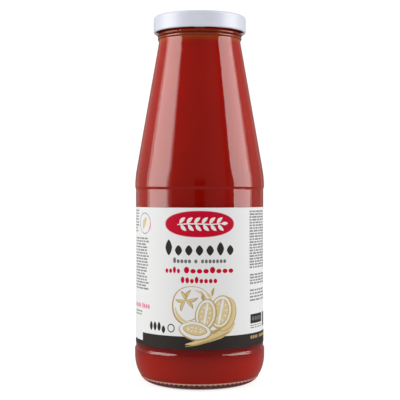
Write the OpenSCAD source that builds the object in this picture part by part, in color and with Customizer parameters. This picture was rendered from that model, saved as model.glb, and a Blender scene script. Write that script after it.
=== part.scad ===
// Tall clear-glass bottle of tomato passata, shut by a white twist-off lid and wrapped in a paper label.
// +Z is up, and the origin is the centre of the base, on the surface that the bottle stands on.

/* [Glass bottle] */
// Height of the glass, from the base to the sealing rim
bottle_h = 218.4; // [180:0.1:264]
// Diameter of the straight panel that takes the label
panel_d = 76.8; // [64:0.1:93]
// How far the shoulder stands proud of the label panel
shoulder_proud = 0.45; // [0.1:0.05:1.5]
// How far the heel stands proud of the label panel
heel_proud = 0.65; // [0.1:0.05:1.5]
// Thickness of the side wall
wall_t = 2.3; // [1.6:0.1:3.5]
// Thickness of the base inside the standing ring
base_t = 3.6; // [2.5:0.1:6]

/* [Base and heel] */
// Height of the rounded heel
heel_h = 16.5; // [10:0.5:24]
// Height of the straight band between the rounded heel and the step up to the label panel
heel_band = 2.9; // [0.5:0.1:8]
// How far the standing ring lies inside the heel's widest point
heel_inset = 10.4; // [6:0.1:14]
// Width of the flat ring that the bottle stands on
ring_w = 1.8; // [1:0.1:4]
// Rise of the hollow under the base
punt_rise = 4.2; // [1:0.1:10]
// Number of notches in the knurl round the standing ring
knurl_count = 72; // [36:1:100]
// Radius of each knurl notch
knurl_r = 0.65; // [0.3:0.05:0.8]

/* [Shoulder and neck] */
// Radius of the bend from the shoulder's widest point into the cone
shoulder_round = 55; // [20:1:70]
// Outer diameter of the finish, the threaded mouth under the lid
finish_d = 48; // [40:0.1:58]
// Thickness of the glass at the mouth
finish_t = 2.3; // [1.6:0.1:3.5]
// Radius of the rim's outer edge
rim_round = 1; // [0.3:0.1:1.5]
// How far the neck below the bead stands out from the finish
neck_out = 0.5; // [0:0.1:2]
// Height of the hollow bend between the cone and the bead
neck_bend = 2.4; // [1:0.1:5]
// How far the bead under the lid stands out from the finish
bead_out = 1.45; // [0.6:0.05:2.5]
// Height of the bead
bead_h = 3.2; // [2:0.1:5]
// Gap between the bead and the lid's lower edge
bead_gap = 0.6; // [0.3:0.1:3]

/* [Thread] */
// Number of thread ramps on the glass, and of lugs in the lid
ramp_count = 4; // [3:1:6]
// How far a ramp stands out from the finish
ramp_out = 1.5; // [0.8:0.1:1.8]
// Radius of a ramp's round section
ramp_r = 0.95; // [0.8:0.05:1.2]
// Angle that a ramp runs round the mouth
ramp_angle = 50; // [20:1:54]
// Slope of a ramp
ramp_slope = 1.8; // [0.5:0.1:3]

/* [Lid] */
// Height of the lid
lid_h = 9.6; // [8:0.1:14]
// Thickness of the lid's sheet, with its lining
lid_t = 0.6; // [0.3:0.05:0.7]
// Clear space between the thread ramps and the lid's skirt
lid_gap = 1.7; // [1.5:0.1:3]
// Radius of the bend at the lid's top edge
lid_round = 1.5; // [0.8:0.1:3]
// Radius of the curl round the lid's lower edge
curl_r = 0.75; // [0.75:0.05:1.2]
// Depth of the lid's middle under its raised rim
lid_sink = 0.7; // [0.2:0.05:1.2]
// Clear space between the lid's sunken middle and the mouth
sink_gap = 0.8; // [0.3:0.1:2]
// Diameter of the safety button in the lid's middle
button_d = 26; // [12:0.5:32]
// Depth of the button, drawn down by the vacuum
button_sink = 0.35; // [0.1:0.05:0.8]
// Angle that a lug of the lid takes up
lug_angle = 14; // [8:1:24]
// How far a lug reaches in under a thread ramp
lug_grip = 0.7; // [0.3:0.05:1]
// Thickness of a lug
lug_t = 1.1; // [0.6:0.05:1.4]
// Clear height between a lug and the lowest point of the ramp over it
lug_play = 0.35; // [0.2:0.05:1]

/* [Contents and label] */
// Free height between the passata and the sealing rim
headspace = 3.6; // [2.5:0.1:40]
// Height of the label
label_h = 80.5; // [60:0.5:100]
// Thickness of the label's paper
label_t = 0.15; // [0.1:0.01:0.4]
// Width of the strip where the label's end laps over its start
label_lap = 8; // [3:0.5:15]
// Bare panel under the label
label_gap_below = 1.9; // [0.5:0.1:8]
// Bare panel above the label
label_gap_above = 9.7; // [0.5:0.1:20]

/* [Hidden] */
$fn = 96;

panel_r = panel_d / 2;
heel_r = panel_r + heel_proud;
shoulder_r = panel_r + shoulder_proud;
finish_r = finish_d / 2;
mouth_r = finish_r - finish_t;
neck_r = finish_r + neck_out;
bead_r = finish_r + bead_out;
stand_r = heel_r - heel_inset; // outer edge of the flat ring that the bottle stands on

step_h = 3; // height of the soft step at each end of the label panel
band_top = heel_h + heel_band;
panel_low = band_top + step_h;
label_low = panel_low + label_gap_below;
panel_top = label_low + label_h + label_gap_above;
shoulder_z = panel_top + step_h;
fill_z = bottle_h - headspace;

lid_top = bottle_h + lid_t;
lid_low = lid_top - lid_h;
bead_top = lid_low - bead_gap;
bead_low = bead_top - bead_h;
bead_mid = (bead_top + bead_low) / 2;
cone_top = bead_low - neck_bend;

ramp_crest = finish_r + ramp_out;
ramp_mid_r = ramp_crest - ramp_r;
ramp_fall = ramp_crest * sin(ramp_angle / 2) * tan(ramp_slope);
ramp_z = lid_low + lug_t + lug_play + ramp_r + ramp_fall;
lid_in = ramp_crest + lid_gap;
lid_r = lid_in + lid_t;
sink_r = mouth_r - sink_gap;
lug_in = ramp_crest - lug_grip;

// Points round centre c on an ellipse, from angle a0 to a1.
function arc(c, rx, rz, a0, a1, n) =
    [for (i = [0 : n]) let (a = a0 + (a1 - a0) * i / n) c + [rx * cos(a), rz * sin(a)]];

// Points after p of a soft S that rises from p to q and is upright at both ends.
function upright_s(p, q, n) =
    [for (i = [1 : n]) let (t = i / n) [p[0] + (q[0] - p[0]) * (1 - cos(180 * t)) / 2, p[1] + (q[1] - p[1]) * t]];

// Points after p of a soft S that runs out from p to q and is level at both ends.
function level_s(p, q, n) =
    [for (i = [1 : n]) let (t = i / n) [p[0] + (q[0] - p[0]) * t, p[1] + (q[1] - p[1]) * (1 - cos(180 * t)) / 2]];

// Points of a bend from p to q that starts towards m and arrives from m.
function bend(p, m, q, n) =
    [for (i = [0 : n]) let (t = i / n) (1 - t) * (1 - t) * p + 2 * t * (1 - t) * m + t * t * q];

// Angle round c at which a line from point p touches the circle of radius r, on its outer side.
function touch_angle(c, r, p) = atan2(p[1] - c[1], p[0] - c[0]) - acos(r / norm(p - c));

// Underside or floor of the base, domed by the punt, from the middle out to the standing ring.
function dome(z) =
    [for (i = [0 : 12]) let (t = i / 12) [(stand_r - ring_w) * t, z + punt_rise * (1 - t * t)]];

// Side of the glass from the standing ring to the neck: t is how far it lies inside the outer
// surface, base the height at which it starts, and neck the radius at which it ends.
function side(t, base, neck) = let (
    c = [shoulder_r - shoulder_round, shoulder_z],
    r = shoulder_round - t,
    corner = [neck, cone_top],
    turn = touch_angle(c, r, corner),
    touch = c + r * [cos(turn), sin(turn)],
    down = (touch - corner) / norm(touch - corner)
) concat(
    arc([stand_r, heel_h], heel_inset - t, heel_h - base, -90, 0, 18),
    [[heel_r - t, band_top]],
    upright_s([heel_r - t, band_top], [panel_r - t, panel_low], 8),
    [[panel_r - t, panel_top]],
    upright_s([panel_r - t, panel_top], [shoulder_r - t, shoulder_z], 8),
    [for (p = arc(c, r, r, turn / 10, turn, 9)) p],
    bend(corner + neck_bend * down, corner, [neck, bead_low], 6)
);

module outside_profile() {
    polygon(concat(
        dome(0),
        side(0, 0, neck_r),
        arc([neck_r, bead_mid], bead_r - neck_r, bead_mid - bead_low, -90, 0, 8),
        [for (p = arc([finish_r, bead_mid], bead_out, bead_top - bead_mid, 10, 90, 8)) p],
        arc([finish_r - rim_round, bottle_h - rim_round], rim_round, rim_round, 0, 90, 6),
        [[0, bottle_h]]
    ));
}

// Space inside the glass up to height top.
module inside_profile(top) {
    polygon(concat(dome(base_t), side(wall_t, base_t, mouth_r), [[mouth_r, top], [0, top]]));
}

// Ridge of round section, which a lug of the lid hooks under.
module thread_ramp() {
    translate([0, 0, ramp_z]) rotate([ramp_slope, 0, 0]) rotate([0, 0, -ramp_angle / 2])
        rotate_extrude(angle = ramp_angle) translate([ramp_mid_r, 0]) circle(ramp_r);
}

// Radial notches in the outer edge of the standing ring.
module knurl() {
    reach = 4;
    for (i = [0 : knurl_count - 1]) rotate([0, 0, 360 * i / knurl_count])
        translate([stand_r, 0, 0]) rotate([0, 90, 0]) cylinder(r = knurl_r, h = reach);
}

module glass_bottle() {
    color([0.82, 0.88, 0.85, 0.35]) difference() {
        union() {
            rotate_extrude() outside_profile();
            for (i = [0 : ramp_count - 1]) rotate([0, 0, 360 * i / ramp_count]) thread_ramp();
        }
        rotate_extrude() inside_profile(bottle_h + 1);
        knurl();
    }
}

module passata() {
    color([0.52, 0.07, 0.05]) rotate_extrude() inside_profile(fill_z);
}

// Top of the lid from its middle to the raised rim, lowered by t.
function lid_face(t) = let (
    panel = lid_top - lid_sink - t,
    button_r = button_d / 2,
    slope = 1.2,
    start = [button_r - slope, panel - button_sink],
    foot = [sink_r - slope - t, panel]
) concat(
    [[0, panel - button_sink], start],
    level_s(start, [button_r, panel], 6),
    [foot],
    level_s(foot, [sink_r - t, lid_top - t], 6)
);

// Sheet of the lid with its raised rim, rounded edge, plain skirt and lower curl.
module lid_profile() {
    curl_c = [lid_r - curl_r, lid_low + curl_r];
    curl_end = acos((curl_r - lid_t) / curl_r) - 360;
    inner_round = lid_round - lid_t;
    under = concat(
        lid_face(lid_t),
        arc([lid_r - lid_round, lid_top - lid_round], inner_round, inner_round, 90, 0, 6)
    );
    polygon(concat(
        lid_face(0),
        arc([lid_r - lid_round, lid_top - lid_round], lid_round, lid_round, 90, 0, 8),
        arc(curl_c, curl_r, curl_r, 0, curl_end, 20),
        [for (i = [len(under) - 1 : -1 : 0]) under[i]]
    ));
}

// Tab of the curl that hooks in under a thread ramp.
module lug() {
    rotate([0, 0, -lug_angle / 2]) rotate_extrude(angle = lug_angle) translate([lug_in, lid_low]) {
        translate([lug_t / 2, 0]) square([lid_r - curl_r - lug_in - lug_t / 2, lug_t]);
        translate([lug_t / 2, lug_t / 2]) circle(lug_t / 2);
    }
}

module lid() {
    color([0.88, 0.89, 0.92]) union() {
        rotate_extrude() lid_profile();
        for (i = [0 : ramp_count - 1]) rotate([0, 0, 360 * i / ramp_count]) lug();
    }
}

// Paper wound once round the panel, with two thicknesses where its end laps over its start at +Y.
module label() {
    lap_angle = label_lap / panel_r * 180 / PI;
    reach = 1;
    color([0.93, 0.92, 0.91]) difference() {
        rotate_extrude() translate([panel_r, label_low]) square([2 * label_t, label_h]);
        rotate([0, 0, 90 + lap_angle / 2]) rotate_extrude(angle = 360 - lap_angle)
            translate([panel_r + label_t, label_low - reach]) square([label_t + reach, label_h + 2 * reach]);
    }
}

glass_bottle();
passata();
lid();
label();
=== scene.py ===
"""A shut clear-glass bottle of tomato passata with a white twist-off lid and a printed wrap-round label.

Lengths are in millimetres until mesh_object() turns them into metres. +Z is up, and the label's
front faces -Y. The lights, the room and the camera are in metres.
"""

import random
from math import acos, atan2, cos, degrees, hypot, pi, radians, sin

import bmesh
import bpy
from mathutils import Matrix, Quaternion, Vector
from mathutils.geometry import delaunay_2d_cdt


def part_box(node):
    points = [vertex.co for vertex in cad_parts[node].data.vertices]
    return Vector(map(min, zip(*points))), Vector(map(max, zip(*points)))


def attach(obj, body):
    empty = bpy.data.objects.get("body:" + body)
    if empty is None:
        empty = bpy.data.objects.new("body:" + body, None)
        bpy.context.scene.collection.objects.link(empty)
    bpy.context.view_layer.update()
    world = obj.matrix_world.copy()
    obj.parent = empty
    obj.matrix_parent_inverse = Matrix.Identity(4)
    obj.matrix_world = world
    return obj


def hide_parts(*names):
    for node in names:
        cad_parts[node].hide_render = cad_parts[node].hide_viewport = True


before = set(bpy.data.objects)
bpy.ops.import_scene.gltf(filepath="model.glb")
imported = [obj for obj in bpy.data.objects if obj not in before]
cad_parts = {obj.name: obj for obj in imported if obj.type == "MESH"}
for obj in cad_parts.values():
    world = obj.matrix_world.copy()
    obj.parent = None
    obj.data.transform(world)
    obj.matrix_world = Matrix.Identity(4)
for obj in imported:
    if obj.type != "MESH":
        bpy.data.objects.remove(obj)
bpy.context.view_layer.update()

MM = 0.001
BODY = "root"


def node_box(node):
    """Lowest and highest corners of a CAD node in millimetres."""
    low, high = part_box(node)
    return low / MM, high / MM


glass_high = node_box("glass_bottle")[1]
passata_low, passata_high = node_box("passata")
lid_low, lid_high = node_box("lid")
label_low, label_high = node_box("label")

# ---------------------------------------------------------------- sizes

BOTTLE_H = glass_high.z
HEEL_R = glass_high.x
LABEL_T = 0.15
PANEL_R = label_high.x - LABEL_T
SHOULDER_R = PANEL_R + 0.45
WALL_T = HEEL_R - passata_high.x
BASE_T = passata_low.z
FILL_Z = passata_high.z
FILL_ROUND = 0.8
FILL_REACH = 0.25  # how far the contents reach into the glass wall, so that no air gap shows

HEEL_H = 16.5  # height of the heel's curve
HEEL_INSET = 10.4  # from the standing ring out to the heel's side
RING_W = 1.8  # width of the standing ring
PUNT_RISE = 4.2  # how far the base rises in its middle
STAND_R = HEEL_R - HEEL_INSET
STEP_H = 3.0  # height of the steps below and above the label panel
STEP_TIGHT = 0.5  # share of a step's height in which its radius changes
PANEL_LOW = label_low.z - 1.9
BAND_TOP = PANEL_LOW - STEP_H
PANEL_TOP = label_high.z + 9.7
SHOULDER_Z = PANEL_TOP + STEP_H
SHOULDER_ROUND = 55.0  # radius of the shoulder's curve

FINISH_R = 24.0
MOUTH_R = 21.7
MOUTH_BEVEL = 0.3
MOUTH_BEVEL_H = 0.6
RIM_ROUND = 1.0
NECK_R = FINISH_R + 0.5
BEAD_OUT = 1.45
BEAD_TOP = lid_low.z - 0.4
BEAD_LOW = BEAD_TOP - 2.2
BEAD_MID = (BEAD_TOP + BEAD_LOW) / 2
COLLAR_OUT = 0.8  # the collar is the narrow ring under the bead
COLLAR_LOW = BEAD_LOW - 1.9
COLLAR_MID = (COLLAR_LOW + BEAD_LOW) / 2
NECK_BEND = 2.4  # length of the bend from the cone to the upright neck
CONE_TOP = BEAD_LOW - NECK_BEND

RAMP_COUNT = 4
RAMP_OUT = 1.5
RAMP_R = 0.95  # half the height of a thread ramp
RAMP_ANGLE = radians(50)
RAMP_Z = lid_low.z + 2.75
RAMP_RISE = 0.8  # climb along a ramp
RAMP_END = 1.1  # where a ramp ends, in halves of its angle
RAMP_FADE = 0.2

KNURL_COUNT = 72
KNURL_DEPTH = 0.65
KNURL_INSIDE = 0.35  # share of the depth that is cut in rather than raised
KNURL_TOP = 4.1
KNURL_FADE = 0.8
NOTCH_H = 1.6  # height of the notches between the knurls at the standing ring
KNURL_HIGHLIGHT_H = 1.1  # height of the pale crests of the knurls, a painted highlight
KNURL_HIGHLIGHT_LINE = (KNURL_TOP - 0.65, KNURL_TOP - 0.1)  # heights of a thin pale line that joins the crests, a painted highlight
# top of the foot's dark tint, a painted shade in the knurled foot
FOOT_SHADE_TOP = KNURL_TOP - KNURL_HIGHLIGHT_H * 0.6
NECK_SHADE_SPAN = (COLLAR_MID + 0.35, BEAD_LOW + 0.5)  # heights of the band between collar and bead that is tinted dark, a painted shade in the crease

WAVE_DEPTH = 0.05
# Lobes round the bottle, height in which the wave turns by a radian, phase and share of the depth.
WAVES = ((2, 31, 0.0, 0.5), (3, -17, 1.3, 0.3), (5, 11, 0.4, 0.14))

LID_R = lid_high.x
LID_T = 0.6
LID_ROUND = 1.5
CURL_R = 0.75  # radius of the curl at the skirt's lower edge
LID_SINK = 0.7
LID_SINK_R = MOUTH_R - 0.8
LID_SLOPE = 1.2
BUTTON_R = 13.0
BUTTON_SINK = 0.35
LUG_ANGLE = radians(14)
LUG_IN = FINISH_R + RAMP_OUT - 0.7  # how far in the lugs reach
LUG_H = 1.6

# How finely the pieces are cut: segments round the axis, and steps along each stretch of a profile.
GLASS_SEGMENTS = 288
FILL_SEGMENTS = 192
LID_SEGMENTS = 240
DOME_STEPS = 9
HEEL_STEPS = 24
STEP_STEPS = 8
SHOULDER_STEPS = 16
NECK_STEPS = 8
RING_STEPS = 10  # along each arc of the collar and the bead
RIM_STEPS = 8
CURL_STEPS = 24
TALL_ROW = 6.0  # spacing of the rings along straight stretches
LOW_ROW = 1.0
FINISH_ROW = 0.55
LID_ROW = 2.5


# ---------------------------------------------------------------- curves and meshes


def ellipse_arc(centre, rx, rz, start, end, count):
    """Points round centre from angle start to end in degrees."""
    points = []
    for i in range(count + 1):
        a = radians(start + (end - start) * i / count)
        points.append((centre[0] + rx * cos(a), centre[1] + rz * sin(a)))
    return points


def smooth_step(x):
    """0 below 0, 1 above 1 and an eased rise between."""
    x = min(max(x, 0.0), 1.0)
    return x * x * (3 - 2 * x)


def upright_s(p, q, count):
    """Points after p of an S that rises to q, steepest in the middle and upright at both ends."""
    points = []
    for i in range(1, count + 1):
        t = i / count
        ease = smooth_step((t - 0.5) / STEP_TIGHT + 0.5)
        points.append((p[0] + (q[0] - p[0]) * ease, p[1] + (q[1] - p[1]) * t))
    return points


def level_s(p, q, count):
    """Points after p of a soft S that runs to q and is level at both ends."""
    points = []
    for i in range(1, count + 1):
        t = i / count
        ease = (1 - cos(pi * t)) / 2
        points.append((p[0] + (q[0] - p[0]) * t, p[1] + (q[1] - p[1]) * ease))
    return points


def quad_bend(p, m, q, count):
    """Points of a bend from p to q that starts towards m and arrives from m."""
    points = []
    for i in range(count + 1):
        t = i / count
        a, b, c = (1 - t) ** 2, 2 * t * (1 - t), t * t
        points.append((a * p[0] + b * m[0] + c * q[0], a * p[1] + b * m[1] + c * q[1]))
    return points


def straight(p, q, spacing):
    """Points after p along a line to q, about spacing apart."""
    dx, dz = q[0] - p[0], q[1] - p[1]
    count = max(1, round(hypot(dx, dz) / spacing))
    return [(p[0] + dx * i / count, p[1] + dz * i / count) for i in range(1, count + 1)]


def mesh_object(name, verts, faces, sharp=40.0):
    """A smooth-shaded mesh from points in millimetres.

    Its faces are turned outwards, and edges of more than sharp degrees stay sharp.
    """
    mesh = bpy.data.meshes.new(name)
    mesh.from_pydata([(x * MM, y * MM, z * MM) for x, y, z in verts], [], faces)
    bm = bmesh.new()
    bm.from_mesh(mesh)
    bmesh.ops.recalc_face_normals(bm, faces=bm.faces)
    bm.to_mesh(mesh)
    bm.free()
    mesh.shade_smooth()
    mesh.set_sharp_from_angle(angle=radians(sharp))
    obj = bpy.data.objects.new(name, mesh)
    bpy.context.scene.collection.objects.link(obj)
    return obj


def ring_faces(a, b):
    """Faces between two rings of vertices, of which one may be a pole or have twice as many."""
    if len(a) == 1 or len(b) == 1:
        pole, ring = (a[0], b) if len(a) == 1 else (b[0], a)
        return [(pole, ring[k], ring[(k + 1) % len(ring)]) for k in range(len(ring))]
    if len(a) == len(b):
        n = len(a)
        return [(a[k], a[(k + 1) % n], b[(k + 1) % n], b[k]) for k in range(n)]
    coarse, dense = (a, b) if len(a) < len(b) else (b, a)
    n = len(coarse)
    faces = []
    for k in range(n):
        c0, c1 = coarse[k], coarse[(k + 1) % n]
        d0, d1, d2 = dense[2 * k], dense[2 * k + 1], dense[(2 * k + 2) % (2 * n)]
        faces += [(c0, d0, d1), (c0, d1, c1), (c1, d1, d2)]
    return faces


def lathe(profile, segments, shape=None, fine=None):
    """Vertices and faces of a profile turned about Z.

    profile is a list of (radius, height), and a radius of 0 is a pole. shape(r, z, angle) may return
    another (r, z). Rings for which fine(r, z) is true get twice as many segments. A profile without
    poles is closed on itself.
    """
    verts, rings = [], []
    for r, z in profile:
        count = 1 if r < 1e-6 else segments * (2 if fine and fine(r, z) else 1)
        rings.append(list(range(len(verts), len(verts) + count)))
        for k in range(count):
            angle = 2 * pi * k / count
            rr, zz = (r, z) if count == 1 or shape is None else shape(r, z, angle)
            verts.append((rr * sin(angle), -rr * cos(angle), zz))
    pairs = list(zip(rings, rings[1:]))
    if len(rings[0]) > 1 and len(rings[-1]) > 1:
        pairs.append((rings[-1], rings[0]))
    return verts, [face for a, b in pairs for face in ring_faces(a, b)]


# ---------------------------------------------------------------- glass and contents

CLEAR_GLASS, FOOT_SHADE_GLASS, KNURL_HIGHLIGHT_GLASS, NECK_SHADE_GLASS = range(4)  # the glass's materials in the mesh; the foot's and crease's tints are painted shade, the crest's tint a painted highlight


def dome(z):
    """Underside or floor of the base, from the middle out to the standing ring."""
    steps = [i / DOME_STEPS for i in range(DOME_STEPS + 1)]
    return [((STAND_R - RING_W) * t, z + PUNT_RISE * (1 - t * t)) for t in steps]


def side(inset, base, neck, detail):
    """Side of the glass from the standing ring to the collar, inset mm inside the outer surface."""
    centre = (SHOULDER_R - SHOULDER_ROUND, SHOULDER_Z)
    r = SHOULDER_ROUND - inset
    corner = (neck, CONE_TOP)
    away = (corner[0] - centre[0], corner[1] - centre[1])
    turn = degrees(atan2(away[1], away[0]) - acos(r / hypot(*away)))
    touch = (centre[0] + r * cos(radians(turn)), centre[1] + r * sin(radians(turn)))
    length = hypot(touch[0] - corner[0], touch[1] - corner[1])
    down = [(touch[i] - corner[i]) / length * NECK_BEND for i in (0, 1)]
    bend_start = (corner[0] + down[0], corner[1] + down[1])
    heel = (HEEL_R - inset, BAND_TOP)
    panel = (PANEL_R - inset, PANEL_LOW)
    panel_end = (PANEL_R - inset, PANEL_TOP)
    shoulder = (SHOULDER_R - inset, SHOULDER_Z)
    points = ellipse_arc((STAND_R, HEEL_H), HEEL_INSET - inset, HEEL_H - base, -90, 0, HEEL_STEPS * detail)
    points += straight(points[-1], heel, LOW_ROW)
    points += upright_s(heel, panel, STEP_STEPS * detail)
    points += straight(panel, panel_end, TALL_ROW)
    points += upright_s(panel_end, shoulder, STEP_STEPS * detail)
    points += ellipse_arc(centre, r, r, 0, turn, SHOULDER_STEPS)[1:]
    points += straight(points[-1], bend_start, TALL_ROW)
    points += quad_bend(bend_start, corner, (neck, COLLAR_LOW), NECK_STEPS)[1:]
    return points


def outside_profile():
    """Outer surface, from the middle of the underside to the inner edge of the rim."""
    bead_r = FINISH_R + BEAD_OUT
    collar_h = COLLAR_MID - COLLAR_LOW
    bead_h = BEAD_MID - BEAD_LOW
    rim = (FINISH_R - RIM_ROUND, BOTTLE_H - RIM_ROUND)
    points = dome(0.0) + side(0.0, 0.0, NECK_R, 2)
    points += ellipse_arc((NECK_R, COLLAR_MID), COLLAR_OUT, collar_h, -90, 90, RING_STEPS)[1:]
    points += ellipse_arc((NECK_R, BEAD_MID), bead_r - NECK_R, bead_h, -90, 0, RING_STEPS)[1:]
    points += ellipse_arc((FINISH_R, BEAD_MID), BEAD_OUT, BEAD_TOP - BEAD_MID, 0, 90, RING_STEPS)[1:]
    points += straight(points[-1], (FINISH_R, rim[1]), FINISH_ROW)
    points += ellipse_arc(rim, RIM_ROUND, RIM_ROUND, 0, 90, RIM_STEPS)[1:]
    return points


def inside_profile(inset, base, top):
    """Surface inset mm inside the outer one, from the middle of the base up to top."""
    neck = MOUTH_R + WALL_T - inset
    return dome(base) + side(inset, base, neck, 1) + [(neck, top)]


def waviness(z, angle):
    """Slow unevenness of blown glass in millimetres. It fades out at the foot and under the bead."""
    body = smooth_step((z - 6) / 10) * smooth_step((BEAD_LOW - z) / 12)
    waves = sum(share * sin(lobes * angle + z / rise + phase) for lobes, rise, phase, share in WAVES)
    return WAVE_DEPTH * body * waves


def thread_height(z, angle):
    """How far the thread ramps stand out of the finish."""
    out = 0.0
    for i in range(RAMP_COUNT):
        turn = (angle - 2 * pi * i / RAMP_COUNT + pi) % (2 * pi) - pi
        along = abs(turn) / (RAMP_ANGLE / 2)
        across = (z - RAMP_Z - RAMP_RISE * turn / RAMP_ANGLE) / RAMP_R
        if along < RAMP_END and abs(across) < 1:
            end = smooth_step((RAMP_END - along) / RAMP_FADE)
            out = max(out, RAMP_OUT * (1 - across * across) ** 0.5 * end)
    return out


def knurl_ridge(angle):
    """1 on the middle of a knurl and 0 between two."""
    return 0.5 + 0.5 * cos(KNURL_COUNT * angle)


def glass_shape(r, z, angle):
    """Knurl, thread ramps and unevenness of the outer surface."""
    margin = 0.1
    if z < KNURL_TOP and r > STAND_R - margin:
        ridge = knurl_ridge(angle)
        notch = smooth_step((NOTCH_H - z) / NOTCH_H) * smooth_step((r - STAND_R + margin) / 0.5)
        end = min((KNURL_TOP - z) / KNURL_FADE, 1.0)
        out = KNURL_DEPTH * (ridge - KNURL_INSIDE) * (1 - (1 - end) ** 2) ** 0.5 * (1 - notch)
        return r + out, z + KNURL_DEPTH * (1 - ridge) * notch
    if z > BEAD_TOP and r > FINISH_R - margin:
        return r + thread_height(z, angle), z
    return r + waviness(z, angle), z


def glass_zone(x, y, z, faces_up):
    """Which of the glass materials a face at (x, y, z) has."""
    r = hypot(x, y)
    # a dark tint on the neck between collar and bead, a painted shade in the crease
    if r > NECK_R - 0.3 and NECK_SHADE_SPAN[0] < z < NECK_SHADE_SPAN[1]:
        return NECK_SHADE_GLASS
    if r < STAND_R - 0.5 or z > KNURL_TOP or faces_up:
        return CLEAR_GLASS
    # pale tint on the knurls' crests and on a thin line that joins them, a painted highlight
    across = min(abs(z - KNURL_TOP + KNURL_HIGHLIGHT_H / 2) / (KNURL_HIGHLIGHT_H / 2), 1.0)
    on_knurl_highlight = knurl_ridge(atan2(x, -y)) > 1 - 0.8 * (1 - across * across) ** 0.5
    if on_knurl_highlight or KNURL_HIGHLIGHT_LINE[0] < z < KNURL_HIGHLIGHT_LINE[1]:
        return KNURL_HIGHLIGHT_GLASS
    # dark tint on the rest of the knurled foot, a painted shade
    return FOOT_SHADE_GLASS if z < FOOT_SHADE_TOP else CLEAR_GLASS


def make_glass(materials):
    """The hollow bottle: an outer and an inner surface, joined at the rim."""
    n = GLASS_SEGMENTS
    inner = inside_profile(WALL_T, BASE_T, BOTTLE_H - MOUTH_BEVEL_H) + [(MOUTH_R + MOUTH_BEVEL, BOTTLE_H)]
    verts, faces = lathe(
        outside_profile(), n, glass_shape, fine=lambda r, z: r > STAND_R - 0.5 and z < KNURL_TOP + 0.3
    )
    count = len(verts)
    in_verts, in_faces = lathe(inner, n)
    faces += [tuple(i + count for i in f) for f in in_faces]
    verts += in_verts
    faces += ring_faces(list(range(count - n, count)), list(range(len(verts) - n, len(verts))))
    obj = mesh_object("glass", verts, faces, sharp=60)
    for material in materials:
        obj.data.materials.append(material)
    for polygon in obj.data.polygons:
        x, y, z = (c / MM for c in polygon.center)
        polygon.material_index = glass_zone(x, y, z, polygon.normal.z > 0.5)
    return obj


def make_passata():
    """The contents, with a flat top that is rounded at the wall."""
    wall_top = FILL_Z - FILL_ROUND
    profile = inside_profile(WALL_T - FILL_REACH, BASE_T - FILL_REACH, wall_top)
    corner = (profile[-1][0] - FILL_ROUND, wall_top)
    profile += ellipse_arc(corner, FILL_ROUND, FILL_ROUND, 0, 90, 5)[1:] + [(0.0, FILL_Z)]
    verts, faces = lathe(profile, FILL_SEGMENTS)
    return mesh_object("passata_fill", verts, faces)


# ---------------------------------------------------------------- lid


def lid_face(drop):
    """Top of the lid from its middle to the raised rim, lowered by drop."""
    panel = lid_high.z - LID_SINK - drop
    button = panel - BUTTON_SINK
    start = (BUTTON_R - LID_SLOPE, button)
    foot = (LID_SINK_R - LID_SLOPE - drop, panel)
    points = [(0.0, button)] + straight((0.0, button), start, LID_ROW)
    points += level_s(start, (BUTTON_R, panel), 8)
    points += straight(points[-1], foot, LID_ROW)
    points += level_s(foot, (LID_SINK_R - drop, lid_high.z - drop), 10)
    return points


def lid_lugs(r, z, angle):
    """Pulls the curl inwards to form the lugs, which lie under the middles of the thread's ramps."""
    turn = (angle + pi / RAMP_COUNT) % (2 * pi / RAMP_COUNT) - pi / RAMP_COUNT
    width = smooth_step((LUG_ANGLE / 2 - abs(turn)) / 0.03 + 0.5)
    inward = smooth_step((LID_R - CURL_R + 0.2 - r) / 0.5) * (z < lid_low.z + LUG_H)
    return r + (LUG_IN - r) * width * inward, z


def make_lid(materials):
    """Sheet lid with a raised rim, rounded edge, plain skirt, lower curl and lugs, lacquered inside."""
    corner = (LID_R - LID_ROUND, lid_high.z - LID_ROUND)
    curl = (LID_R - CURL_R, lid_low.z + CURL_R)
    curl_end = degrees(acos((CURL_R - LID_T) / CURL_R)) - 360
    edge = ellipse_arc(corner, LID_ROUND, LID_ROUND, 90, 0, 12)
    outer = lid_face(0.0)
    outer += straight(outer[-1], edge[0], LOW_ROW) + edge[1:]
    outer += straight(outer[-1], (LID_R, curl[1]), LOW_ROW)
    outer += ellipse_arc(curl, CURL_R, CURL_R, 0, curl_end, CURL_STEPS)[1:]
    inner_edge = ellipse_arc(corner, LID_ROUND - LID_T, LID_ROUND - LID_T, 90, 0, 8)
    inner = lid_face(LID_T)
    inner += straight(inner[-1], inner_edge[0], LOW_ROW) + inner_edge[1:]
    verts, faces = lathe(outer + inner[::-1], LID_SEGMENTS, lid_lugs)
    obj = mesh_object("lid_shell", verts, faces, sharp=50)
    for material in materials:
        obj.data.materials.append(material)
    first_inside = (len(outer) - CURL_STEPS * 2 // 3) * LID_SEGMENTS
    for polygon in obj.data.polygons[first_inside:]:
        polygon.material_index = 1
    return obj


# ---------------------------------------------------------------- label print
# The print is drawn flat, in millimetres: u runs round the bottle from the front's middle, v up from
# the label's lower edge. Each shape is an outline and an ink, and a later shape lies over the
# earlier ones.

LABEL_H = label_high.z - label_low.z
WRAP = 2 * pi * PANEL_R
LAP = 8.0
HALF = WRAP / 2 + LAP / 2  # the strip runs from -HALF to HALF, and its ends lap at the back
LAP_RISE = 2.0  # length in which the end climbs over the start
LAP_GAP = 0.02
LABEL_REACH = 0.02  # how far the paper reaches into the glass, so that no air gap shows
LABEL_COLUMNS = 180
INKS = ("paper", "crimson", "charcoal", "grey", "stone", "gold", "straw", "rose")
art = []


def paint(outline, ink):
    """Adds a filled outline to the print."""
    art.append((outline, INKS.index(ink)))


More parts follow.
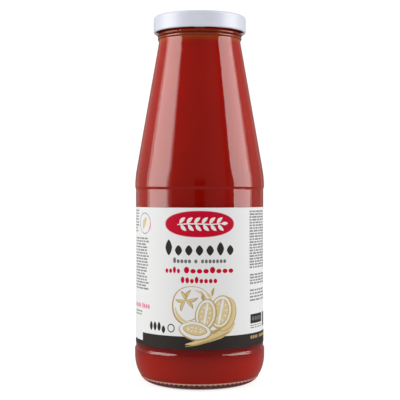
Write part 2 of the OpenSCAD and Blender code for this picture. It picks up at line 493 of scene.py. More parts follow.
def oval(u, v, a, b, ink, turn=0.0, count=48, squash=2.0):
    """An oval round (u, v), turned by turn degrees. A squash over 2 fills out its corners."""
    c, s = cos(radians(turn)), sin(radians(turn))
    points = []
    for i in range(count):
        t = 2 * pi * i / count
        x = a * abs(cos(t)) ** (2 / squash) * (1 if cos(t) >= 0 else -1)
        y = b * abs(sin(t)) ** (2 / squash) * (1 if sin(t) >= 0 else -1)
        points.append((u + x * c - y * s, v + x * s + y * c))
    paint(points, ink)


def block(u0, v0, u1, v1, ink):
    """A rectangle from its lower left to its upper right corner."""
    paint([(u0, v0), (u1, v0), (u1, v1), (u0, v1)], ink)


def pill(u0, v0, u1, v1, ink, corner=0.3):
    """A block with bevelled corners."""
    c = min(corner, (u1 - u0) / 2.5, (v1 - v0) / 2.5)
    k = 0.3 * c
    points = [(u0 + c, v0), (u1 - c, v0), (u1 - k, v0 + k), (u1, v0 + c), (u1, v1 - c), (u1 - k, v1 - k)]
    points += [(u1 - c, v1), (u0 + c, v1), (u0 + k, v1 - k), (u0, v1 - c), (u0, v0 + c), (u0 + k, v0 + k)]
    paint(points, ink)


def leaf(u, v, length, width, turn, ink, bow=0.0, count=10):
    """A pointed leaf that starts at (u, v) and runs length mm towards turn degrees, bowed to one side."""
    c, s = cos(radians(turn)), sin(radians(turn))
    up, low = [], []
    for i in range(count + 1):
        t = i / count
        middle = bow * sin(pi * t)
        half = width / 2 * sin(pi * t) ** 0.8
        up.append((length * t, middle + half))
        low.append((length * t, middle - half))
    points = low + up[-2:0:-1]
    paint([(u + x * c - y * s, v + x * s + y * c) for x, y in points], ink)


def band_stroke(points, widths, ink):
    """A stroke through points, with its full width at each."""
    left, right = [], []
    for i, (x, y) in enumerate(points):
        x0, y0 = points[max(i - 1, 0)]
        x1, y1 = points[min(i + 1, len(points) - 1)]
        length = hypot(x1 - x0, y1 - y0)
        nx, ny = (y0 - y1) / length, (x1 - x0) / length
        half = widths[i] / 2
        left.append((x + nx * half, y + ny * half))
        right.append((x - nx * half, y - ny * half))
    paint(right + left[::-1], ink)


def arc_stroke(u, v, a, b, start, end, width, ink, turn=0.0, count=14):
    """A stroke along part of an oval, thickest in its middle."""
    c, s = cos(radians(turn)), sin(radians(turn))
    points, widths = [], []
    for i in range(count + 1):
        t = radians(start + (end - start) * i / count)
        x, y = a * cos(t), b * sin(t)
        points.append((u + x * c - y * s, v + x * s + y * c))
        widths.append(width * (0.25 + 0.75 * sin(pi * i / count)))
    band_stroke(points, widths, ink)


def word(u, v, heights, width, gap, ink, squash=2.6, tail=()):
    """A row of plain rounded marks in place of a word. tail lists the marks that hang down."""
    for i, height in enumerate(heights):
        drop = 0.3 * height if i in tail else 0.0
        middle = (u + width / 2, v + (height - drop) / 2)
        oval(*middle, width / 2, (height + drop) / 2, ink, count=20, squash=squash)
        u += width + gap


SHORT_WORD = 1.6
LONG_WORD = 5.2
WORD_GAP = 0.75
# Pitch and height of the lines of small print, and their ink.
FINE = (1.72, 0.97, "stone")
DENSE = (1.62, 1.0, "stone")


def small_print(rng, u0, u1, v_top, v_low, pitch, height, ink, ragged=0.25):
    """Lines of small print, as bars the length of words. ragged is the share that a line may lack."""
    v = v_top - height
    while v > v_low - 0.01:
        end = u1 - (u1 - u0) * ragged * rng.random() ** 2
        u = u0
        while u < end - 1.0:
            length = min(rng.uniform(SHORT_WORD, LONG_WORD), end - u)
            block(u, v, u + length, v + height, ink)
            u += length + WORD_GAP
        v -= pitch


def draw_bands():
    """Dark band along the lower edge, taller on the front and the right."""
    block(-HALF, 0.0, HALF, 2.7, "charcoal")
    block(-40.0, 0.0, 86.0, 7.4, "charcoal")


def draw_medallion():
    """Plain crimson oval with a white sprig of leaves."""
    stem = ((-13.0, 70.9), (-6.5, 71.4), (0.0, 71.3), (6.5, 71.0), (13.0, 71.4))
    oval(0.0, 71.2, 20.6, 7.6, "rose", count=72, squash=2.15)
    oval(0.0, 71.2, 20.2, 7.3, "crimson", count=72, squash=2.15)
    band_stroke(stem, (0.5, 0.7, 0.7, 0.7, 0.5), "paper")
    for i in range(6):
        u = -11.6 + 4.3 * i
        leaf(u, 71.3, 5.0, 2.1, 48, "paper", bow=0.35)
        leaf(u + 0.7, 71.1, 5.0, 2.1, -48, "paper", bow=-0.35)
    leaf(12.4, 71.4, 4.2, 1.9, 3, "paper")


def draw_titles():
    """Rows of plain rounded marks where a label has its name, and a ring beside the lower row."""
    cap, low, tall = 9.0, 5.9, 7.6
    word(-20.4, 53.3, (cap, low, low, low, low, tall, low), 4.3, 1.75, "charcoal", squash=1.45)
    word(-15.4, 49.0, (3.2, 2.1, 2.1, 2.1, 2.1), 1.7, 0.5, "grey")
    word(-3.0, 49.0, (2.1,), 1.7, 0.5, "grey")
    word(0.8, 49.0, (2.1,) * 7, 1.65, 0.5, "grey")
    word(-20.4, 43.2, (2.6, 2.6, 3.8, 2.6), 1.9, 0.5, "crimson", squash=1.9)
    word(-9.0, 43.2, (3.8, 2.6, 2.6, 2.6, 3.8, 2.6, 2.6, 2.6), 3.1, 0.6, "crimson", squash=1.9)
    word(-10.8, 37.6, (3.8, 3.4, 2.6, 3.8, 2.6, 2.6, 2.6, 2.6), 2.15, 0.52, "crimson", squash=1.9)
    word(-32.4, 9.6, (5.2, 5.2, 5.2, 3.4), 2.5, 0.6, "charcoal", squash=1.6, tail=(3,))
    oval(-16.8, 11.8, 2.3, 2.5, "charcoal", count=28)
    oval(-16.8, 11.8, 1.7, 1.9, "paper", count=28)


def seeds(u, v, a, b, turn, count, phase=0.0):
    """Pale seeds set round an oval, pointing to its middle."""
    c, s = cos(radians(turn)), sin(radians(turn))
    for i in range(count):
        t = 2 * pi * (i + phase) / count
        x, y = a * cos(t), b * sin(t)
        su, sv = u + x * c - y * s, v + x * s + y * c
        leaf(su, sv, 1.5, 0.75, degrees(atan2(v - sv, u - su)), "paper", count=5)


def half_tomato(u, v, a, b, turn):
    """A cut tomato half: skin, flesh, core and a ring of seeds."""
    oval(u, v, a, b, "gold", turn)
    oval(u - 0.1, v + 0.15, a - 0.6, b - 0.6, "straw", turn)
    oval(u - 0.25, v + 0.25, a - 1.0, b - 1.0, "paper", turn)
    oval(u - 0.2, v, a - 2.0, b - 2.1, "gold", turn)
    oval(u - 0.2, v, a - 2.4, b - 2.5, "straw", turn)
    c, s = cos(radians(turn + 90)), sin(radians(turn + 90))
    half = b - 2.3
    core = [(u - 0.2 + c * k * half, v + s * k * half) for k in (-1, -0.5, 0, 0.5, 1)]
    band_stroke(core, (0.8, 1.5, 1.1, 1.5, 0.8), "paper")
    seeds(u - 0.2, v, a - 3.1, b - 3.4, turn, 10, 0.5)


# Direction in degrees, length and bow of each sepal of the whole tomato.
SEPALS = (
    (178, 6.2, 0.7),
    (118, 6.0, -0.5),
    (62, 6.8, 0.8),
    (12, 7.6, -0.9),
    (-48, 6.6, 0.6),
    (-112, 7.2, -0.8),
)


def draw_tomatoes():
    """Generic drawing of a whole tomato, two halves and a wedge in gold ink."""
    tail = [(21.0, 14.5), (17.5, 11.0), (12.0, 8.4), (5.0, 6.0), (-2.0, 4.0), (-8.2, 2.9)]
    band_stroke(tail, (1.2, 3.6, 4.4, 3.6, 2.4, 0.4), "straw")
    band_stroke([(x, y - 1.2) for x, y in tail[1:]], (0.8, 1.3, 1.2, 0.9, 0.3), "gold")
    oval(-4.6, 24.6, 11.6, 11.4, "gold", squash=2.2)
    oval(-4.4, 24.9, 10.9, 10.7, "paper", squash=2.2)
    arc_stroke(-4.6, 24.6, 9.6, 9.4, 185, 262, 1.8, "straw")
    arc_stroke(-4.6, 24.6, 9.3, 9.2, 20, 78, 1.3, "straw")
    arc_stroke(-6.0, 25.5, 6.5, 9.0, 262, 318, 0.6, "gold")
    arc_stroke(-2.0, 25.5, 5.0, 9.3, 20, 60, 0.5, "gold")
    for turn, length, bow in SEPALS:
        leaf(-8.0, 28.0, length, 2.0, turn, "gold", bow)
        leaf(-8.0, 28.0, length * 0.85, 1.0, turn, "straw", bow * 0.85)
    band_stroke([(-8.0, 28.0), (-7.4, 30.0), (-7.9, 31.6)], (0.9, 0.7, 1.0), "gold")
    leaf(7.2, 30.0, 5.5, 1.5, 78, "gold", 0.4)
    leaf(6.6, 28.5, 4.6, 1.6, 128, "straw", -0.4)
    leaf(2.5, 27.5, 4.4, 2.0, 100, "gold", 0.3)
    oval(14.6, 20.0, 7.4, 10.0, "gold", -14)
    oval(14.2, 20.3, 7.3, 9.8, "straw", -14)
    half_tomato(12.4, 21.2, 7.0, 9.6, -12)
    half_tomato(3.6, 19.8, 6.2, 9.2, -10)
    band_stroke([(1.4, 9.6), (8.0, 9.8), (12.5, 11.8)], (1.2, 2.2, 0.8), "gold")
    oval(-2.6, 10.6, 9.6, 5.4, "gold", -8, squash=1.8)
    oval(-2.7, 10.9, 8.9, 4.8, "paper", -8, squash=1.8)
    oval(-2.6, 11.2, 7.0, 3.2, "gold", -8, squash=1.8)
    oval(-2.6, 11.3, 6.5, 2.8, "straw", -8, squash=1.8)
    seeds(-2.6, 11.3, 4.9, 1.6, -8, 9)


def draw_left_panel(rng):
    """Round emblem with a leaf, columns of small print, and a rose and a grey line."""
    oval(-37.6, 71.2, 5.9, 6.2, "grey", count=40)
    oval(-37.6, 71.2, 5.5, 5.8, "paper", count=40)
    leaf(-39.6, 67.6, 8.4, 3.4, 62, "straw", 0.4)
    arc_stroke(-37.6, 71.2, 5.7, 6.0, -60, 20, 0.9, "rose")
    small_print(rng, -52.0, -33.4, 62.8, 32.0, *FINE)
    small_print(rng, -53.0, -45.4, 79.0, 64.6, *FINE)
    small_print(rng, -75.0, -55.5, 76.5, 15.0, *FINE)
    word(-52.0, 21.6, (2.6, 2.6, 2.6, 2.6, 2.6), 1.5, 0.5, "rose")
    word(-40.6, 21.6, (3.2, 2.6, 2.6, 2.6), 1.6, 0.5, "rose")
    small_print(rng, -52.0, -40.6, 20.0, 17.0, *FINE, 0.1)


def draw_right_panel(rng):
    """Columns of small print, a dark plate and gold marks on the band."""
    small_print(rng, 32.6, 54.5, 78.6, 45.0, *DENSE, 0.12)
    small_print(rng, 32.9, 54.5, 41.8, 34.6, *DENSE, 0.12)
    small_print(rng, 32.9, 54.5, 32.8, 25.4, 1.9, 0.98, "stone", 0.2)
    block(33.4, 13.0, 47.5, 18.4, "charcoal")
    for i in range(4):
        block(35.0 + 3.0 * i, 14.6, 37.2 + 3.0 * i, 16.9, "grey")
    small_print(rng, 33.4, 47.5, 12.2, 9.8, 1.3, 0.6, "stone", 0.1)
    block(49.2, 10.0, 54.5, 18.4, "grey")
    word(33.6, 4.1, (2.0,) * 4, 1.5, 0.5, "gold")
    word(43.4, 4.1, (2.0,) * 6, 1.5, 0.5, "gold")


def draw_back_panel(rng):
    """Two generic panels of small print and a ruled table, beside the seam."""
    small_print(rng, 60.0, 82.0, 77.0, 48.0, *FINE)
    block(60.0, 12.0, 82.0, 45.0, "grey")
    block(60.35, 12.35, 81.65, 44.65, "paper")
    for i in range(9):
        v = 41.2 - 3.5 * i
        block(60.35, v, 81.65, v + 0.25, "grey")
        block(61.4, v - 2.2, 61.4 + rng.uniform(5.0, 9.0), v - 1.2, "grey")
        block(75.2, v - 2.2, 75.2 + rng.uniform(3.0, 5.2), v - 1.2, "grey")
    small_print(rng, 89.0, 110.0, 77.0, 30.0, *FINE)
    oval(99.5, 19.5, 6.5, 6.5, "crimson", count=40)
    leaf(96.4, 15.8, 9.6, 4.4, 50, "paper", 0.4)
    small_print(rng, -110.0, -84.0, 77.0, 46.0, *FINE)
    pill(-110.0, 30.0, -84.0, 40.0, "crimson", 1.2)
    small_print(rng, -107.0, -87.0, 37.4, 32.6, 1.9, 0.9, "paper", 0.1)
    small_print(rng, -110.0, -84.0, 26.0, 8.0, *FINE)


def flat_print():
    """The print as flat triangles: points, faces and each face's ink."""
    points, outlines, inks = [], [], []
    for i in range(LABEL_COLUMNS):
        u0 = -HALF + 2 * HALF * i / LABEL_COLUMNS
        u1 = -HALF + 2 * HALF * (i + 1) / LABEL_COLUMNS
        start = len(points)
        points += [(u0, 0.0), (u1, 0.0), (u1, LABEL_H), (u0, LABEL_H)]
        outlines.append(list(range(start, start + 4)))
        inks.append(0)
    for outline, ink in art:
        start = len(points)
        points += [(min(max(u, -HALF), HALF), min(max(v, 0.0), LABEL_H)) for u, v in outline]
        outlines.append(list(range(start, start + len(outline))))
        inks.append(ink)
    flat = [Vector(p) for p in points]
    only_inside, merge_gap = 1, 1e-4
    verts, _, faces, _, _, owners = delaunay_2d_cdt(flat, [], outlines, only_inside, merge_gap)
    return verts, faces, [inks[max(owner)] if owner else 0 for owner in owners]


def wrap(u, v, lift):
    """The point of the wound label over (u, v), lift mm out of the glass. Its end laps over its start."""
    over = smooth_step((u - (WRAP / 2 - LAP / 2 - LAP_RISE)) / LAP_RISE)
    r = PANEL_R + lift + (LABEL_T + LAP_GAP) * over
    angle = u / PANEL_R
    return r * sin(angle), -r * cos(angle), label_low.z + v


def make_label(materials):
    """The printed paper: its outer face, its inner face and the narrow edge between them."""
    rng = random.Random(7)
    draw_bands()
    draw_medallion()
    draw_titles()
    draw_tomatoes()
    draw_left_panel(rng)
    draw_right_panel(rng)
    draw_back_panel(rng)
    flat, faces, inks = flat_print()
    count = len(flat)
    verts = [wrap(p.x, p.y, LABEL_T) for p in flat]
    verts += [wrap(p.x, p.y, -LABEL_REACH) for p in flat]
    edges = dict.fromkeys((a, b) for f in faces for a, b in zip(f, f[1:] + f[:1]))
    rim = [(a, b) for a, b in edges if (b, a) not in edges]
    solid = [tuple(f) for f in faces] + [tuple(i + count for i in reversed(f)) for f in faces]
    solid += [(b, a, a + count, b + count) for a, b in rim]
    obj = mesh_object("label_wrap", verts, solid, sharp=50)
    for material in materials:
        obj.data.materials.append(material)
    for polygon, ink in zip(obj.data.polygons, inks):
        polygon.material_index = ink
    return obj


# ---------------------------------------------------------------- materials


def new_material(name, color, roughness, **sockets):
    """A new material, its node tree, its Principled shader and its object coordinates in metres."""
    material = bpy.data.materials.new(name)
    material.use_nodes = True
    tree = material.node_tree
    shader = tree.nodes["Principled BSDF"]
    shader.inputs["Base Color"].default_value = (*color, 1)
    shader.inputs["Roughness"].default_value = roughness
    for socket, value in sockets.items():
        shader.inputs[socket.replace("_", " ")].default_value = value
    coords = tree.nodes.new("ShaderNodeTexCoord").outputs["Object"]
    return material, tree, shader, coords


def feed(tree, socket, value):
    """Gives an input a number or another node's output."""
    if isinstance(value, (int, float)):
        socket.default_value = value
    else:
        tree.links.new(value, socket)


def math_node(tree, operation, first, second):
    """A maths node whose two inputs are outputs of other nodes or numbers."""
    node = tree.nodes.new("ShaderNodeMath")
    node.operation = operation
    for socket, value in zip(node.inputs, (first, second)):
        feed(tree, socket, value)
    return node.outputs[0]


def map_range(tree, value, start, end, to_start=0.0, to_end=1.0, smooth=False):
    """A value that goes from to_start to to_end while another goes from start to end."""
    node = tree.nodes.new("ShaderNodeMapRange")
    if smooth:
        node.interpolation_type = "SMOOTHSTEP"
    node.inputs["From Min"].default_value = start
    node.inputs["From Max"].default_value = end
    node.inputs["To Min"].default_value = to_start
    node.inputs["To Max"].default_value = to_end
    tree.links.new(value, node.inputs["Value"])
    return node.outputs["Result"]


def noise(tree, coords, size, detail=2.0, rough=0.5):
    """Noise whose features are about size mm across."""
    node = tree.nodes.new("ShaderNodeTexNoise")
    node.inputs["Scale"].default_value = 1 / (size * MM)
    node.inputs["Detail"].default_value = detail
    node.inputs["Roughness"].default_value = rough
    tree.links.new(coords, node.inputs["Vector"])
    return node.outputs["Fac"]


def vary_color(tree, shader, fac, dark, light, low=0.3, high=0.7):
    """Drives the base colour from dark to light by a noise."""
    ramp = tree.nodes.new("ShaderNodeValToRGB")
    ramp.color_ramp.elements[0].position = low
    ramp.color_ramp.elements[1].position = high
    ramp.color_ramp.elements[0].color = (*dark, 1)
    ramp.color_ramp.elements[1].color = (*light, 1)
    tree.links.new(fac, ramp.inputs["Fac"])
    tree.links.new(ramp.outputs["Color"], shader.inputs["Base Color"])


def set_stops(ramp, stops):
    """Gives a colour ramp its stops, each a place from 0 to 1 and a colour."""
    elements = ramp.color_ramp.elements
    elements.remove(elements[1])
    for i, (place, color) in enumerate(stops):
        element = elements[0] if i == 0 else elements.new(place)
        element.position = place
        element.color = (*color, 1)


def vary_roughness(tree, shader, fac, low, high):
    """Drives the roughness from low to high by a noise."""
    tree.links.new(map_range(tree, fac, 0.0, 1.0, low, high), shader.inputs["Roughness"])


def bump(tree, shader, height, depth, strength=1.0):
    """Relief depth mm deep where height goes from 0 to 1."""
    node = tree.nodes.new("ShaderNodeBump")
    node.inputs["Strength"].default_value = strength
    node.inputs["Distance"].default_value = depth * MM
    tree.links.new(height, node.inputs["Height"])
    tree.links.new(node.outputs["Normal"], shader.inputs["Normal"])


def scaled(color, factor):
    """A colour made darker or lighter."""
    return tuple(min(c * factor, 1.0) for c in color)


GLASS_IOR = 1.52
GLASS_FILTER = (0.95, 0.97, 0.96, 1)  # what is left of the light that goes straight through


def glass_material(name, tint, roughness, **sockets):
    """Clear, faintly rippled glass that lets lamps and soft light through to the contents."""
    material, tree, shader, coords = new_material(name, tint, roughness, IOR=GLASS_IOR, **sockets)
    bump(tree, shader, noise(tree, coords, 16.0, 1.0), 0.028)
    path = tree.nodes.new("ShaderNodeLightPath").outputs
    clear = tree.nodes.new("ShaderNodeBsdfTransparent")
    clear.inputs["Color"].default_value = GLASS_FILTER
    mix = tree.nodes.new("ShaderNodeMixShader")
    through = math_node(tree, "MAXIMUM", path["Is Shadow Ray"], path["Is Diffuse Ray"])
    tree.links.new(through, mix.inputs["Fac"])
    tree.links.new(shader.outputs["BSDF"], mix.inputs[1])
    tree.links.new(clear.outputs["BSDF"], mix.inputs[2])
    tree.links.new(mix.outputs["Shader"], tree.nodes["Material Output"].inputs["Surface"])
    return material


# Height in millimetres and colour of the passata as it looks through the glass. Beside the sauce's own
# red it holds painted light and shade: lighter at the foot, a painted shade close to the label's lower
# edge where the label shades it, browner up the neck, pale rings as painted highlights and dark rings
# as painted shade behind the collar and bead, and a painted shade under the lid.
PASSATA_COLOR_AND_PAINTED_LIGHT = (
    (0.0, (0.40, 0.0150, 0.0050)),
    (6.0, (0.345, 0.0100, 0.0030)),
    (label_low.z - 9.0, (0.275, 0.0075, 0.0020)),
    (label_low.z - 5.5, (0.22, 0.0040, 0.0015)),
    (label_low.z - 2.5, (0.16, 0.0012, 0.0006)),
    (label_low.z, (0.15, 0.0010, 0.0005)),
    (label_high.z, (0.245, 0.0040, 0.0018)),
    (PANEL_TOP, (0.255, 0.0042, 0.0018)),
    (143.0, (0.275, 0.0045, 0.0018)),
    (178.0, (0.295, 0.0045, 0.0018)),
    (BEAD_LOW - 7.8, (0.31, 0.0045, 0.0018)),
    (BEAD_LOW - 4.8, (0.30, 0.0080, 0.0020)),
    (BEAD_LOW - 3.3, (0.31, 0.0280, 0.0040)),
    (BEAD_LOW - 2.0, (0.36, 0.0400, 0.0060)),
    (BEAD_LOW - 1.4, (0.62, 0.1300, 0.0350)),
    (BEAD_LOW - 0.8, (0.55, 0.0900, 0.0200)),
    (BEAD_LOW - 0.3, (0.12, 0.0060, 0.0010)),
    (BEAD_LOW + 0.5, (0.12, 0.0060, 0.0010)),
    (BEAD_MID, (0.42, 0.0320, 0.0020)),
    (BEAD_TOP - 0.5, (0.36, 0.0260, 0.0020)),
    (BEAD_TOP, (0.14, 0.0070, 0.0010)),
    (FILL_Z, (0.11, 0.0080, 0.0010)),
)
SLOW_SHARE = 0.55  # of the wide clouds in the passata's noise, beside the fine pulp
PULP_SPREAD = (0.35, 0.68)  # the noise's low and high, and how they scale the colour
PULP_SHADE = (0.93, 1.07)


def passata_material():
    """Wet puree pressed against the glass: fine pulp, in a deep red that changes with height, with painted
    shade and painted highlights in its colour.
    """
    color = PASSATA_COLOR_AND_PAINTED_LIGHT[0][1]
    material, tree, shader, coords = new_material("passata_puree", color, 0.4, Specular_IOR_Level=0.0)
    height = tree.nodes.new("ShaderNodeSeparateXYZ")
    tree.links.new(coords, height.inputs["Vector"])
    place = math_node(tree, "DIVIDE", height.outputs["Z"], BOTTLE_H * MM)
    ramp = tree.nodes.new("ShaderNodeValToRGB")
    set_stops(ramp, [(z / BOTTLE_H, color) for z, color in PASSATA_COLOR_AND_PAINTED_LIGHT])
    tree.links.new(place, ramp.inputs["Fac"])
    fine = noise(tree, coords, 0.9, 3.0, 0.6)
    slow = noise(tree, coords, 26.0, 2.0)
    fine_share = math_node(tree, "MULTIPLY", fine, 1 - SLOW_SHARE)
    slow_share = math_node(tree, "MULTIPLY", slow, SLOW_SHARE)
    pulp = math_node(tree, "ADD", fine_share, slow_share)
    shaded = tree.nodes.new("ShaderNodeVectorMath")
    shaded.operation = "SCALE"
    tree.links.new(ramp.outputs["Color"], shaded.inputs["Vector"])
    tree.links.new(map_range(tree, pulp, *PULP_SPREAD, *PULP_SHADE), shaded.inputs["Scale"])
    tree.links.new(shaded.outputs["Vector"], shader.inputs["Base Color"])
    bump(tree, shader, fine, 0.05, 0.4)
    return material


def lid_material():
    """White enamel on tinplate, with a faint orange peel under the gloss."""
    white = (0.71, 0.73, 0.83)
    material, tree, shader, coords = new_material(
        "lid_enamel", white, 0.4, Coat_Weight=0.2, Coat_Roughness=0.15, Specular_IOR_Level=0.35
    )
    vary_color(tree, shader, noise(tree, coords, 9.0), scaled(white, 0.97), scaled(white, 1.02))
    vary_roughness(tree, shader, noise(tree, coords, 3.0), 0.3, 0.42)
    bump(tree, shader, noise(tree, coords, 1.6, 1.0), 0.012)
    return material


def lacquer_material():
    """Golden lacquer on the lid's inside."""
    gold = (0.17, 0.085, 0.03)
    material, tree, shader, coords = new_material("lid_lacquer", gold, 0.3, Metallic=0.6)
    vary_color(tree, shader, noise(tree, coords, 4.0), scaled(gold, 0.85), scaled(gold, 1.1))
    return material


def ink_material(ink, color, roughness):
    """Label paper with its print: paper fibres show in the colour, the gloss and the relief."""
    name = "label_" + ink
    material, tree, shader, coords = new_material(name, color, roughness, Specular_IOR_Level=0.06)
    fibres = noise(tree, coords, 0.55, 3.0, 0.65)
    vary_color(tree, shader, fibres, scaled(color, 0.965), scaled(color, 1.02))
    vary_roughness(tree, shader, fibres, roughness - 0.06, roughness + 0.06)
    bump(tree, shader, fibres, 0.015, 0.5)
    return material


INK_COLORS = {
    "paper": (0.84, 0.84, 0.84),
    "crimson": (0.55, 0.002, 0.024),
    "charcoal": (0.031, 0.026, 0.024),
    "grey": (0.15, 0.15, 0.155),
    "stone": (0.27, 0.27, 0.27),
    "gold": (0.52, 0.36, 0.13),
    "straw": (0.72, 0.58, 0.31),
    "rose": (0.72, 0.22, 0.32),
}


# ---------------------------------------------------------------- the bottle's pieces

glass = make_glass([
    glass_material("glass_clear", (0.96, 0.985, 0.97), 0.0, Transmission_Weight=1.0),
    # dark tint of the knurled foot, a painted shade
    glass_material("glass_shaded_foot", (0.34, 0.31, 0.27), 0.05, Transmission_Weight=0.9),
    # pale tint of the knurl crests, a painted highlight
    glass_material("glass_knurl_highlight", (0.84, 0.60, 0.44), 0.25, Transmission_Weight=0.35),
    # dark tint between collar and bead, a painted shade in the crease
    glass_material("glass_neck_shade", (0.22, 0.08, 0.05), 0.05, Transmission_Weight=1.0),
])
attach(glass, BODY)
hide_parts("glass_bottle")

passata = make_passata()
passata.data.materials.append(passata_material())
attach(passata, BODY)
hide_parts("passata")

lid = make_lid([lid_material(), lacquer_material()])
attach(lid, BODY)
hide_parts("lid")

label = make_label([ink_material(ink, INK_COLORS[ink], 0.5) for ink in INKS])
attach(label, BODY)
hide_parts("label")


# ---------------------------------------------------------------- studio

WHITE = (1, 1, 1, 1)
BACKDROP = 1.05
SOFT_LIGHT = 0.82

FLOOR_Z = -0.0002
FLOOR_R = 6.0
FLOOR_ALBEDO = (0.35, 0.35, 0.2)  # as seen, in soft light and in reflections
FLOOR_GLOW = (0.78, 0.36, 0.05)  # likewise
FADE_FROM = 0.1  # between these distances the floor takes on the backdrop's brightness
FADE_TO = 0.9
GLOW_FROM = (STAND_R - 2) * MM  # under the bottle the floor doesn't glow, which paints a shade beneath it
GLOW_FULL = (STAND_R + 3) * MM

# Bearing from the camera's side in degrees, positive to the right, and how bright the room is there
# in reflections.
REFLECTED_ROOM = (
    (-180, 0.1), (-166, 0.12), (-157, 0.3), (-148, 0.5), (-138, 0.4), (-116, 0.4), (-104, 0.6),
    (-62, 1.2), (-57, 0.9), (-49, 0.15), (-10, 0.15), (10, 0.15), (31, 0.2), (45, 0.16), (51, 0.04),
    (61, 0.2), (104, 0.5), (138, 0.25), (148, 0.4), (157, 0.25), (166, 0.12), (180, 0.1),
)
ROOM_TINT = (1.0, 0.95, 0.84, 1)
FIGURE_HALF = 8.0  # degrees to each side of the camera that stay dark, up to FIGURE_TOP degrees
FIGURE_TOP = 5.0
FIGURE_SOFT = 1.5  # degrees in which the dark figure ends at its sides
FIGURE_SOFT_TOP = 5.0  # and at its top
OVERHEAD = 1.6  # brightness of the ceiling in reflections
OVERHEAD_FROM = 66.0  # degrees above the horizon where the ceiling starts and where it is full
OVERHEAD_FULL = 76.0

LIGHTS_DISTANCE = 0.9
LIGHTS_HEIGHT = 0.30
STRIP_TINT = (1.0, 0.98, 0.94)
# Soft boxes that show in reflections: name, bearing and lean in degrees, width, height and radiance.
SOFT_BOXES = (
    ("wide_left", -80, -6, 0.86, 1.4, 1.8),
    ("strip_left", -78, -6, 0.66, 1.4, 2.8),
    ("wide_right", 82, 8, 0.74, 1.5, 1.8),
    ("strip_right", 79.5, 8, 0.63, 1.5, 3.0),
)
FILL_PLACE = (1.0, 0.35, (0.8, 0.9))  # distance, height and size
FILL_RADIANCE = 1.85
# Side, bearing of the fill that lights everything, and bearing and radiance of the contents' own.
FILLS = (("left", -88, -95, 3.5), ("right", 97, 95, 3.3))


def on_bearing(bearing, distance, height):
    """A point at a bearing in degrees from the camera's side, positive to the right."""
    a = radians(bearing)
    return Vector((distance * sin(a), -distance * cos(a), height))


def by_ray(tree, seen, soft, gloss):
    """A level: seen for the camera and through glass, soft in diffuse light, gloss in reflections."""
    path = tree.nodes.new("ShaderNodeLightPath").outputs
    level = gloss
    for factor, other in (
        (path["Is Diffuse Ray"], soft),
        (math_node(tree, "MAXIMUM", path["Is Camera Ray"], path["Is Transmission Ray"]), seen),
    ):
        mix = tree.nodes.new("ShaderNodeMix")
        tree.links.new(factor, mix.inputs["Factor"])
        feed(tree, mix.inputs["A"], level)
        feed(tree, mix.inputs["B"], other)
        level = mix.outputs["Result"]
    return level


def make_floor():
    """A round pale floor. Its own glow grows with distance, so that it fades into the backdrop, and stops
    under the bottle, a painted shade there.
    """
    bm = bmesh.new()
    bmesh.ops.create_circle(bm, cap_ends=True, segments=96, radius=FLOOR_R)
    mesh = bpy.data.meshes.new("floor")
    bm.to_mesh(mesh)
    bm.free()
    floor = bpy.data.objects.new("floor", mesh)
    floor.location.z = FLOOR_Z
    bpy.context.scene.collection.objects.link(floor)
    material = bpy.data.materials.new("floor_pale")
    material.use_nodes = True
    tree = material.node_tree
    shader = tree.nodes["Principled BSDF"]
    shader.inputs["Roughness"].default_value = 0.9
    shader.inputs["Specular IOR Level"].default_value = 0.0
    shader.inputs["Emission Color"].default_value = WHITE
    albedo = by_ray(tree, *FLOOR_ALBEDO)
    tree.links.new(albedo, shader.inputs["Base Color"])
    coords = tree.nodes.new("ShaderNodeTexCoord")
    length = tree.nodes.new("ShaderNodeVectorMath")
    length.operation = "LENGTH"
    tree.links.new(coords.outputs["Object"], length.inputs[0])
    distance = length.outputs["Value"]
    seen = map_range(tree, distance, FADE_FROM, FADE_TO, FLOOR_GLOW[0], BACKDROP)
    beside = map_range(tree, distance, GLOW_FROM, GLOW_FULL, smooth=True)
    glow = math_node(tree, "MULTIPLY", by_ray(tree, seen, *FLOOR_GLOW[1:]), beside)
    tree.links.new(glow, shader.inputs["Emission Strength"])
    mesh.materials.append(material)


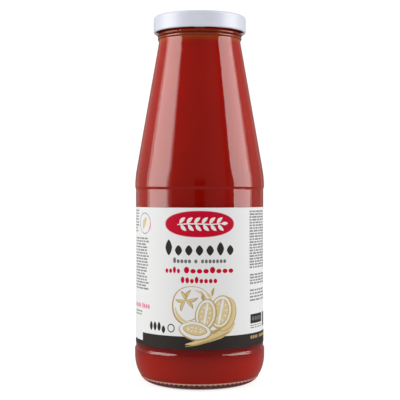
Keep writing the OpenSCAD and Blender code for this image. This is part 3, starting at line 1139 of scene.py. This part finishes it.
def make_world():
    """White for the camera and an even glow for soft light. Reflections show a dim warm room.

    Its brightness changes with bearing. It has a bright ceiling and, in front, a low dark figure.
    """
    world = bpy.data.worlds.new("studio")
    bpy.context.scene.world = world
    world.use_nodes = True
    tree = world.node_tree
    back = tree.nodes["Background"]
    coords = tree.nodes.new("ShaderNodeTexCoord")
    split = tree.nodes.new("ShaderNodeSeparateXYZ")
    tree.links.new(coords.outputs["Generated"], split.inputs["Vector"])
    ahead = math_node(tree, "MULTIPLY", split.outputs["Y"], -1.0)
    bearing = math_node(tree, "ARCTAN2", split.outputs["X"], ahead)
    turn = math_node(tree, "ADD", math_node(tree, "DIVIDE", bearing, 2 * pi), 0.5)
    ramp = tree.nodes.new("ShaderNodeValToRGB")
    set_stops(ramp, [(0.5 + degree / 360, (level, level, level)) for degree, level in REFLECTED_ROOM])
    tree.links.new(turn, ramp.inputs["Fac"])
    off_centre = math_node(tree, "ABSOLUTE", bearing, 0.0)
    figure_edge = (radians(FIGURE_HALF), radians(FIGURE_HALF + FIGURE_SOFT))
    figure_top = (sin(radians(FIGURE_TOP)), sin(radians(FIGURE_TOP + FIGURE_SOFT_TOP)))
    ceiling = (sin(radians(OVERHEAD_FROM)), sin(radians(OVERHEAD_FULL)))
    beside = map_range(tree, off_centre, *figure_edge)
    over = map_range(tree, split.outputs["Z"], *figure_top)
    above = map_range(tree, split.outputs["Z"], *ceiling, smooth=True)
    clear = math_node(tree, "MAXIMUM", beside, over)
    walls = math_node(tree, "MULTIPLY", ramp.outputs["Color"], clear)
    room = tree.nodes.new("ShaderNodeMix")
    room.inputs["B"].default_value = OVERHEAD
    tree.links.new(above, room.inputs["Factor"])
    tree.links.new(walls, room.inputs["A"])
    strength = by_ray(tree, BACKDROP, SOFT_LIGHT, room.outputs["Result"])
    tree.links.new(strength, back.inputs["Strength"])
    path = tree.nodes.new("ShaderNodeLightPath").outputs
    outside = math_node(tree, "MAXIMUM", path["Is Camera Ray"], path["Is Transmission Ray"])
    plain = math_node(tree, "MAXIMUM", outside, path["Is Diffuse Ray"])
    tint = tree.nodes.new("ShaderNodeMix")
    tint.data_type = "RGBA"
    tree.links.new(plain, tint.inputs["Factor"])
    color_a, color_b, color_out = tint.inputs[6], tint.inputs[7], tint.outputs[2]
    color_a.default_value = ROOM_TINT
    color_b.default_value = WHITE
    tree.links.new(color_out, back.inputs["Color"])


def add_panel(name, bearing, distance, height, size, radiance, gloss, lean=0.0):
    """A rectangular area light of a given size and radiance that faces the bottle.

    With gloss it shows in reflections alone, without it in soft light alone. lean turns it in its
    own plane.
    """
    width, tall = size
    light = bpy.data.lights.new(name, "AREA")
    light.shape = "RECTANGLE"
    light.size, light.size_y = width, tall
    light.energy = radiance * pi * width * tall
    if gloss:
        light.color = STRIP_TINT
    panel = bpy.data.objects.new(name, light)
    panel.location = on_bearing(bearing, distance, height)
    aim = Vector((0, 0, BOTTLE_H / 2 * MM)) - panel.location
    turn = aim.to_track_quat("-Z", "Y") @ Quaternion((0, 0, 1), radians(lean))
    panel.rotation_euler = turn.to_euler()
    panel.visible_camera = False
    panel.visible_transmission = False
    panel.visible_glossy = gloss
    panel.visible_diffuse = not gloss
    bpy.context.scene.collection.objects.link(panel)
    return panel


contents = bpy.data.collections.new("contents")
contents.objects.link(passata)
make_world()
make_floor()
for name, bearing, lean, width, tall, radiance in SOFT_BOXES:
    add_panel(name, bearing, LIGHTS_DISTANCE, LIGHTS_HEIGHT, (width, tall), radiance, True, lean)
for mark, bearing, inner_bearing, inner_radiance in FILLS:
    add_panel("fill_" + mark, bearing, *FILL_PLACE, FILL_RADIANCE, False)
    inner = add_panel("inner_" + mark, inner_bearing, *FILL_PLACE, inner_radiance, False)
    inner.light_linking.receiver_collection = contents


# ---------------------------------------------------------------- camera

CAMERA_SIDE = 0.0002
CAMERA_DISTANCE = 0.603
CAMERA_HEIGHT = 0.1137
CAMERA_SHIFT = -0.02
CLIP_START = 0.01
FOCAL_LENGTH = 89.7
SENSOR_WIDTH = 36.0

camera_data = bpy.data.cameras.new("camera")
camera_data.lens = FOCAL_LENGTH
camera_data.sensor_width = SENSOR_WIDTH
camera_data.shift_y = CAMERA_SHIFT
camera_data.clip_start = CLIP_START
camera = bpy.data.objects.new("camera", camera_data)
camera.location = (CAMERA_SIDE, -CAMERA_DISTANCE, CAMERA_HEIGHT)
camera.rotation_euler = (pi / 2, 0, 0)
bpy.context.scene.collection.objects.link(camera)
bpy.context.scene.camera = camera
bpy.context.scene.view_settings.view_transform = "Standard"
